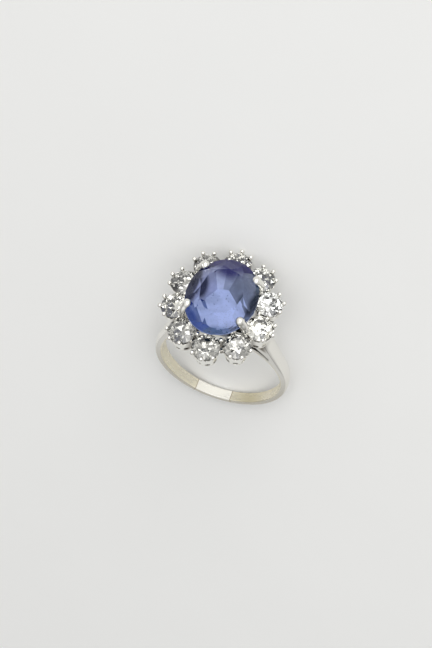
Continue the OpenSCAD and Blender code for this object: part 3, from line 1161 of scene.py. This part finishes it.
# painted shade and light: each stone's own greyness, made darker or brighter to how much
# light it seems to return
GREYNESS_AND_PAINTED_LIGHT = (0.40, 0.37, 0.94, 1.1, 1.05, 0.98, 0.58, 0.52, 0.88, 0.37)
WARM = (1.0, 0.98, 0.91)
BLANK_TOP = GIRDLE_T / 2 + CROWN_SHARE * DIAMOND_R
BLANK_BOTTOM = -1.6


def tone_all(stone, colour):
    """Gives every facet the same colour attribute."""
    tone = stone.data.color_attributes.new("tone", "FLOAT_COLOR", "CORNER")
    for corner in tone.data:
        corner.color = (*colour, 1)


for number in range(1, DIAMONDS + 1):
    matrix = at_place(number - 1) @ Matrix.Rotation(math.radians(TURNS[number - 1]), 4, "Z")
    stone = ground(f"brilliant_{number:02d}", DIAMOND_R, BLANK_TOP, BLANK_BOTTOM,
                   brilliant_rows(DIAMOND_R), matrix)
    tone_all(stone, [GREYNESS_AND_PAINTED_LIGHT[number - 1] * c for c in WARM])
    stone.data.materials.append(DIAMOND)
    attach(stone, "root")
    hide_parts(f"diamond_{number:02d}")
print("a brilliant has", len(stone.data.polygons), "faces")

# %% [markdown]
# ## The sapphire
#
# An old oval stone, cut by eye. The crown is a low ring of facets round a large table.
# Below, short break facets run along the girdle and long main facets reach down to a wide
# flat bottom, which shows through the table as a pale, uneven polygon. Its corners are
# judged from the photograph, to a tenth of a millimetre. The stone is ground round
# and then narrowed, because planes stay planes when they are squeezed.

# %% The long facets, from the corners of the flat bottom
CENTRE_CROWN, CENTRE_PAVILION = 1.4, 3.62
CENTRE_EDGE = 0.08
BREAK_SHARE, BREAK_DEPTH = 0.85, 1.05
# across and along, in millimetres
BOTTOM_CORNERS = ((2.3, -2.2), (2.1, 0.0), (0.3, 1.9), (-0.4, 1.8), (-1.1, 1.6),
                  (-2.2, -0.3), (-0.5, -2.9))
R = SAPPHIRE_HALF_L
NARROW = SAPPHIRE_HALF_W / R


def slope(r1, z1, r2, z2):
    """The slope in degrees of a facet between two points of a profile."""
    return math.degrees(math.atan2(abs(z2 - z1), abs(r1 - r2)))


def main_rows():
    """The long facets, one from each edge of the bottom up to the break facets."""
    rows = []
    corners = [Vector((x / NARROW, y)) for x, y in BOTTOM_CORNERS]
    for a, b in zip(corners, corners[1:] + corners[:1]):
        out = Vector(((b - a).y, -(b - a).x)).normalized()
        reach = out.dot(a)
        lean = slope(BREAK_SHARE * R, BREAK_DEPTH, reach, CENTRE_PAVILION)
        rows.append((1, math.degrees(math.atan2(out.y, out.x)), reach,
                     -CENTRE_PAVILION, -lean))
    return rows


print("the flat bottom has", len(main_rows()), "sides")

# %% Grind the sapphire
CENTRE_TABLE = 0.6
CENTRE_STAR, CENTRE_BREAK = 0.72, 1.14
crown_slope = slope(R, CENTRE_EDGE, CENTRE_TABLE * R, CENTRE_CROWN)
star_reach = CENTRE_TABLE * R * math.cos(math.radians(15))
break_slope = slope(R, CENTRE_EDGE, BREAK_SHARE * R, BREAK_DEPTH)
rows = [
    (12, 0, R, CENTRE_EDGE, crown_slope),
    (12, 15, star_reach, CENTRE_CROWN, crown_slope * CENTRE_STAR),
    (12, 7.5, R, CENTRE_EDGE, crown_slope * CENTRE_BREAK),
    (12, 22.5, R, CENTRE_EDGE, crown_slope * CENTRE_BREAK),
    (16, 0, R, -CENTRE_EDGE, -break_slope),
    *main_rows(),
]
sapphire = ground("oval_sapphire", R, CENTRE_CROWN, -CENTRE_PAVILION, rows,
                  Matrix.Translation((0, 0, CENTRE_H)) @ Matrix.Diagonal((NARROW, 1, 1, 1)))
print("the sapphire has", len(sapphire.data.polygons), "facets")

# %% [markdown]
# ## The sapphire's colours
#
# A natural sapphire is rarely one even blue. This one is navy on its left, violet at the
# far rim, slate and teal on its right, bright blue near the lower left, and pale in the
# middle. How light and dark it looks is painted: painted shade makes its edges near black,
# and the pale middle is a painted window, where light would come through the flat bottom.
# True inclusions would take a volume, which is slow. So the crown is clear glass, and the
# facets below carry the colours: each takes its tone from the direction it lies in, as a
# painted reflection, is partly milky and partly glass, and shows through the crown just as
# a real back facet does.

# %% Tones for the facets below the girdle: painted reflections and a painted window
# painted light: the flat bottom's pale tone stands in for the window where light comes
# through the stone
PALE_WINDOW = (0.50, 0.54, 0.67)
GIRDLE_TONE = (0.30, 0.36, 0.42)
# painted reflections: each facet below is toned light or dark by its direction, and the
# near black tones are painted shade
# degrees round the stone from its right side, and the colour there
MAIN_REFLECTION_TONES = ((5, (0.15, 0.16, 0.20)), (43, (0.26, 0.28, 0.33)), (91, (0.36, 0.38, 0.44)),
              (110, (0.54, 0.56, 0.66)), (150, (0.37, 0.38, 0.50)),
              (214, (0.18, 0.23, 0.40)), (285, (0.07, 0.13, 0.24)))
BREAK_REFLECTION_TONES = ((0, (0.03, 0.04, 0.05)), (22, (0.12, 0.17, 0.21)), (45, (0.04, 0.06, 0.11)),
               (90, (0.02, 0.015, 0.13)), (135, (0.005, 0.005, 0.05)),
               (180, (0.003, 0.005, 0.04)), (202, (0.02, 0.04, 0.20)),
               (225, (0.14, 0.24, 0.56)), (248, (0.05, 0.10, 0.36)),
               (270, (0.07, 0.13, 0.25)), (315, (0.10, 0.11, 0.14)),
               (338, (0.12, 0.15, 0.19)))


def toned(angle, tones):
    """The tone of the nearest direction in a table."""
    return min(tones, key=lambda row: abs((angle - row[0] + 180) % 360 - 180))[1]


print("the facet towards the front has the tone", toned(-90, BREAK_REFLECTION_TONES))

# %% Give each facet its tone
FLAT_SLACK = 0.01


def tone_facets(stone):
    """Gives each facet a colour attribute, its tone of painted reflection, and the back
    facets the second material.
    """
    tone = stone.data.color_attributes.new("tone", "FLOAT_COLOR", "CORNER")
    stand = LAY.inverted()
    for face in stone.data.polygons:
        where = stand @ face.center - Vector((0, 0, CENTRE_H))
        angle = math.degrees(math.atan2(where.y, where.x))
        colour = (1, 1, 1)
        if where.z < -CENTRE_PAVILION + FLAT_SLACK:
            colour = PALE_WINDOW
        elif where.z < -BREAK_DEPTH:
            colour = toned(angle, MAIN_REFLECTION_TONES)
        elif where.z < -CENTRE_EDGE:
            colour = toned(angle, BREAK_REFLECTION_TONES)
        elif where.z < CENTRE_EDGE:
            colour = GIRDLE_TONE
        face.material_index = int(where.z < -CENTRE_EDGE)
        for loop in face.loop_indices:
            tone.data[loop].color = (*colour, 1)


tone_facets(sapphire)
below = sum(face.material_index for face in sapphire.data.polygons)
print(below, "of the sapphire's facets lie below its girdle")

# %% [markdown]
# ## Zones, veil and specks
#
# The colour of a crystal grew in zones, and these don't follow the facets. So a few soft
# round patches are laid over the tones, each with its middle, its reach and its colour.
# They carry the crystal's zoning and painted shade, which makes the darkest of them near
# black. A thin veil and a few dark specks near the middle break up what would look like
# paint.

# %% The material below the girdle
# across, along, radius in millimetres, softness and colour of the zones in the crystal,
# whose colour is zoning with painted shade
ZONES_AND_SHADE = ((-4.9, 1.0, 2.35, 0.7, (0.001, 0.001, 0.02, 1)),
         (-0.5, 5.4, 1.5, 1.5, (0.025, 0.018, 0.12, 1)),
         (3.5, 0.6, 1.0, 1.0, (0.012, 0.016, 0.022, 1)),
         (-3.0, -3.2, 0.8, 1.2, (0.04, 0.08, 0.30, 1)),
         (0.6, -3.7, 0.7, 1.3, (0.08, 0.15, 0.26, 1)))
ZONE_SHARE = 0.92
VEIL_SCALE, VEIL_FADE = 600, (0.3, 0.7, 0, 0.3)
SPECK_SCALE, SPECK_FADE = 4200, (0.66, 0.72, 0, 0.6)
SPECKS_AT, SPECKS_FROM, SPECKS_TO = (-0.3, 0.0), 1.2, 1.9
DEPTHS_CLEAR, DEPTHS_ROUGH, DEPTHS_INDEX = 0.05, 0.2, 1.05


def distance_from(tree, flat, across, along):
    """How far a point is from a spot of the crystal, seen from above."""
    return vector_maths(tree, "DISTANCE", flat, (across * MM, along * MM, 0), "Value")


def sapphire_depths():
    """The back facets: part milky body colour with painted reflections and shade, part
    glass.
    """
    made, tree, shader, _ = new_material("sapphire depths")
    colour = add_node(tree, "ShaderNodeVertexColor", layer_name="tone").outputs[0]
    place = upright_place(tree)
    parts = add_node(tree, "ShaderNodeSeparateXYZ", {0: place}).outputs
    flat = add_node(tree, "ShaderNodeCombineXYZ", {0: parts[0], 1: parts[1]}).outputs[0]
    for across, along, radius, soft, zone in ZONES_AND_SHADE:
        share = fade(tree, distance_from(tree, flat, across, along), radius * MM,
                     (radius + soft) * MM, ZONE_SHARE, 0)
        colour = blend_colour(tree, share, colour, zone)
    veil = fade(tree, noise(tree, place, VEIL_SCALE, 3), *VEIL_FADE)
    specks = maths(tree, "MULTIPLY",
                   fade(tree, noise(tree, place, SPECK_SCALE, 1), *SPECK_FADE),
                   fade(tree, distance_from(tree, flat, *SPECKS_AT), SPECKS_FROM * MM,
                        SPECKS_TO * MM, 1, 0))
    colour = blend_colour(tree, maths(tree, "MAXIMUM", veil, specks), colour, (0, 0, 0, 1))
    tree.links.new(colour, shader.inputs["Base Color"])
    shader.inputs["Transmission Weight"].default_value = DEPTHS_CLEAR
    shader.inputs["Roughness"].default_value = DEPTHS_ROUGH
    shader.inputs["IOR"].default_value = DEPTHS_INDEX
    return made


sapphire.data.materials.append(SAPPHIRE)
sapphire.data.materials.append(sapphire_depths())
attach(sapphire, "root")
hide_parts("centre_stone")
print("the sapphire shows", len(ZONES_AND_SHADE), "zones of colour")

# %% [markdown]
# ## The floor and the camera
#
# The ring lies on plain pale card. The camera stands where the photographer's did, seen
# from the ring: its turn, rise and roll, how far off it is, and where it aims were judged
# from the ovals that the finger hole and the girdles make in the picture. They are given
# in the upright ring's frame and laid down with it.

# %% The floor
FLOOR_HALF = 1.5
CARD_DARK, CARD_LIGHT = (0.81, 0.81, 0.80, 1), (0.83, 0.83, 0.82, 1)
CARD_SCALE, CARD_ROUGH = 60, 0.9
bm = bmesh.new()
bmesh.ops.create_grid(bm, x_segments=8, y_segments=8, size=FLOOR_HALF)
floor = new_object("floor", bm)
card, tree, shader, _ = new_material("pale card")
where = add_node(tree, "ShaderNodeTexCoord").outputs["Object"]
grain = noise(tree, where, CARD_SCALE, 2)
tree.links.new(blend_colour(tree, grain, CARD_DARK, CARD_LIGHT),
               shader.inputs["Base Color"])
shader.inputs["Roughness"].default_value = CARD_ROUGH
floor.data.materials.append(card)
print("the floor is", 2 * FLOOR_HALF, "m wide")

# %% The camera's three directions
VIEW_TURN, VIEW_RISE, VIEW_ROLL = 18.67, 57.61, -0.84
VIEW_DISTANCE = 220.0
AIM_ACROSS, AIM_UP = 0.86, -5.10
PIXELS_PER_MM = 7.51
FRAME_HEIGHT_PX = 648
SENSOR_MM = 36.0

turn, rise, roll = (math.radians(a) for a in (VIEW_TURN, VIEW_RISE, VIEW_ROLL))
back = Vector((math.sin(turn) * math.cos(rise), -math.cos(turn) * math.cos(rise),
               math.sin(rise)))
level = Vector((math.cos(turn), math.sin(turn), 0))
steep = back.cross(level)
right = math.cos(roll) * level + math.sin(roll) * steep
up = -math.sin(roll) * level + math.cos(roll) * steep
eye = VIEW_DISTANCE * back - AIM_ACROSS * right - AIM_UP * up
print("the camera looks down at", VIEW_RISE, "degrees")

# %% Set up the camera
turned_frame = Matrix((right, up, back)).transposed().to_4x4()
camera_data = bpy.data.cameras.new("camera")
camera_data.sensor_fit = "VERTICAL"
camera_data.sensor_height = SENSOR_MM
camera_data.lens = PIXELS_PER_MM * VIEW_DISTANCE * SENSOR_MM / FRAME_HEIGHT_PX
camera_data.clip_start = 0.01
camera = bpy.data.objects.new("camera", camera_data)
bpy.context.scene.collection.objects.link(camera)
camera.matrix_world = Matrix.Translation(LAY @ eye) @ UPRIGHT_TO_LAID @ turned_frame
bpy.context.scene.camera = camera
print("the camera is", round((LAY @ eye).z * 1000), "mm above the floor")

# %% [markdown]
# ## The light
#
# Jewellery is photographed in a white tent, because polished metal shows only what is
# round it. The one dark thing is the opening that the camera looks through, and each
# small ball on the ring shows it as a dark dot. A picture of a studio could do this, but
# a few smooth fades do it without one: pale behind and above, darker towards the camera
# and the left, a pale band low down, and a dark patch in one fixed direction. Two soft
# lamps above the head give the floor its fall of light and the ring its soft shadows.

# %% The tent
TENT = (1.0, 1.0, 0.99, 1)
TENT_SHADE = (0.15, 0.15, 0.145, 1)
TENT_LIGHT = 1.02
OPENING = (0.03, 0.03, 0.03, 1)
OPENING_EDGE, OPENING_CORE = (math.cos(math.radians(a)) for a in (32, 24))
FORWARD_SHARE, FOLD_SCALE = 0.8, 2.2
FRONT_FADE, FOLD_FADE = (0.0, 1.05, 0.1, 1), (0.35, 0.65, 0.75, 1)
SIDE_FADE, BAND_FADE = (-1.0, -0.6, 0.2, 1), (0.22, 0.45, 0.55, 0)
opening_way = (UPRIGHT_TO_LAID @ back).normalized()


def tent_light(tree, way):
    """How light the tent's wall is in a direction, from 0 to 1."""
    sideways, forward, height = add_node(tree, "ShaderNodeSeparateXYZ", {0: way}).outputs
    from_front = maths(tree, "ADD", maths(tree, "MULTIPLY", forward, FORWARD_SHARE), height)
    folds = fade(tree, noise(tree, way, FOLD_SCALE, 0), *FOLD_FADE)
    lit = maths(tree, "MULTIPLY", fade(tree, from_front, *FRONT_FADE), folds)
    lit = maths(tree, "MULTIPLY", lit, fade(tree, sideways, *SIDE_FADE))
    return maths(tree, "MAXIMUM", lit, fade(tree, height, *BAND_FADE))


world = bpy.data.worlds.new("tent")
world.use_nodes = True
bpy.context.scene.world = world
tree = world.node_tree
tree.nodes.clear()
way = add_node(tree, "ShaderNodeTexCoord").outputs["Generated"]
walls = blend_colour(tree, tent_light(tree, way), TENT_SHADE, TENT)
dark = fade(tree, vector_maths(tree, "DOT_PRODUCT", way, opening_way, "Value"),
            OPENING_EDGE, OPENING_CORE)
light = add_node(tree, "ShaderNodeBackground", {
    "Color": blend_colour(tree, dark, walls, OPENING), "Strength": TENT_LIGHT})
out = tree.nodes.new("ShaderNodeOutputWorld")
tree.links.new(light.outputs[0], out.inputs[0])
print("the opening of the tent lies towards", tuple(round(v, 2) for v in opening_way))

# %% Two soft lamps
def softbox(name, way, distance, size, power):
    """A square soft light that faces the ring."""
    data = bpy.data.lights.new(name, "AREA")
    data.size = size
    data.energy = power
    lamp = bpy.data.objects.new(name, data)
    bpy.context.scene.collection.objects.link(lamp)
    way = Vector(way).normalized()
    lamp.matrix_world = (Matrix.Translation(way * distance)
                         @ way.to_track_quat("Z", "Y").to_matrix().to_4x4())


softbox("high soft light", way=(0.3, 0.75, 1.0), distance=0.9, size=0.8, power=3.5)
softbox("low soft light", way=(0.2, 1.0, 0.4), distance=0.9, size=0.6, power=4.2)
bpy.context.scene.view_settings.view_transform = "Standard"
